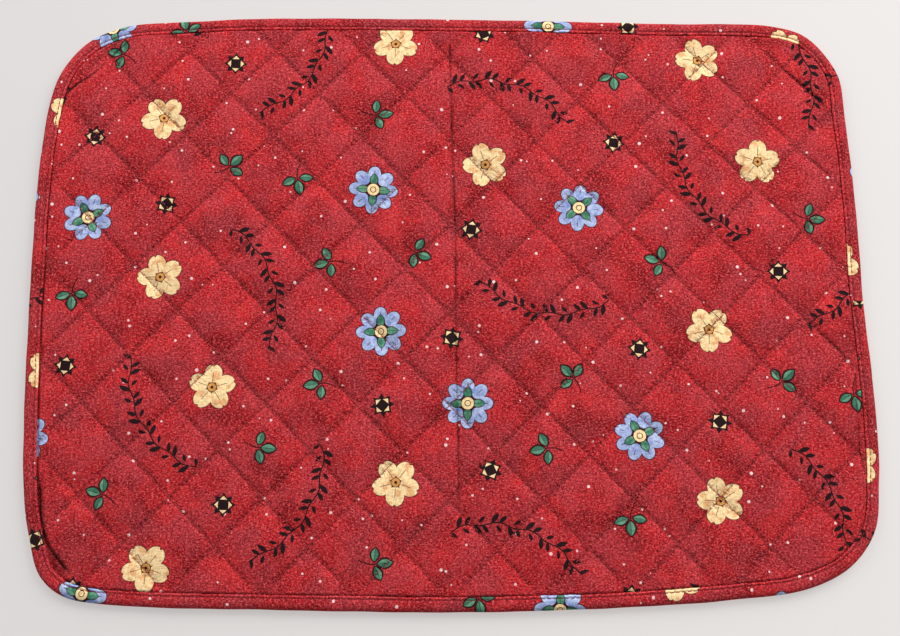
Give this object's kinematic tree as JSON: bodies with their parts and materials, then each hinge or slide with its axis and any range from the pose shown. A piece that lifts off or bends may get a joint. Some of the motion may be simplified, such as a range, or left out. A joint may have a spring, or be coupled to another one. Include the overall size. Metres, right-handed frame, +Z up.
{
  "type": "quilted fabric placemat",
  "caption": "Quilted cotton placemat with rounded corners, diagonal stitching and a folded binding round its edge, lying flat.",
  "frame": {"origin": "on the table, under the middle of the mat", "axes": "+X along the long side, +Y to the far side, +Z up out of the printed front"},
  "size_m": [0.457, 0.335, 0.0055],
  "materials": {
    "printed_cotton": "matt woven cotton, mottled crimson with a small tossed print",
    "binding_cotton": "matt woven cotton, the same print, folded and pressed"
  },
  "bodies": {
    "root": {"quilted_mat": "printed_cotton", "binding": "binding_cotton"}
  },
  "joints": []
}
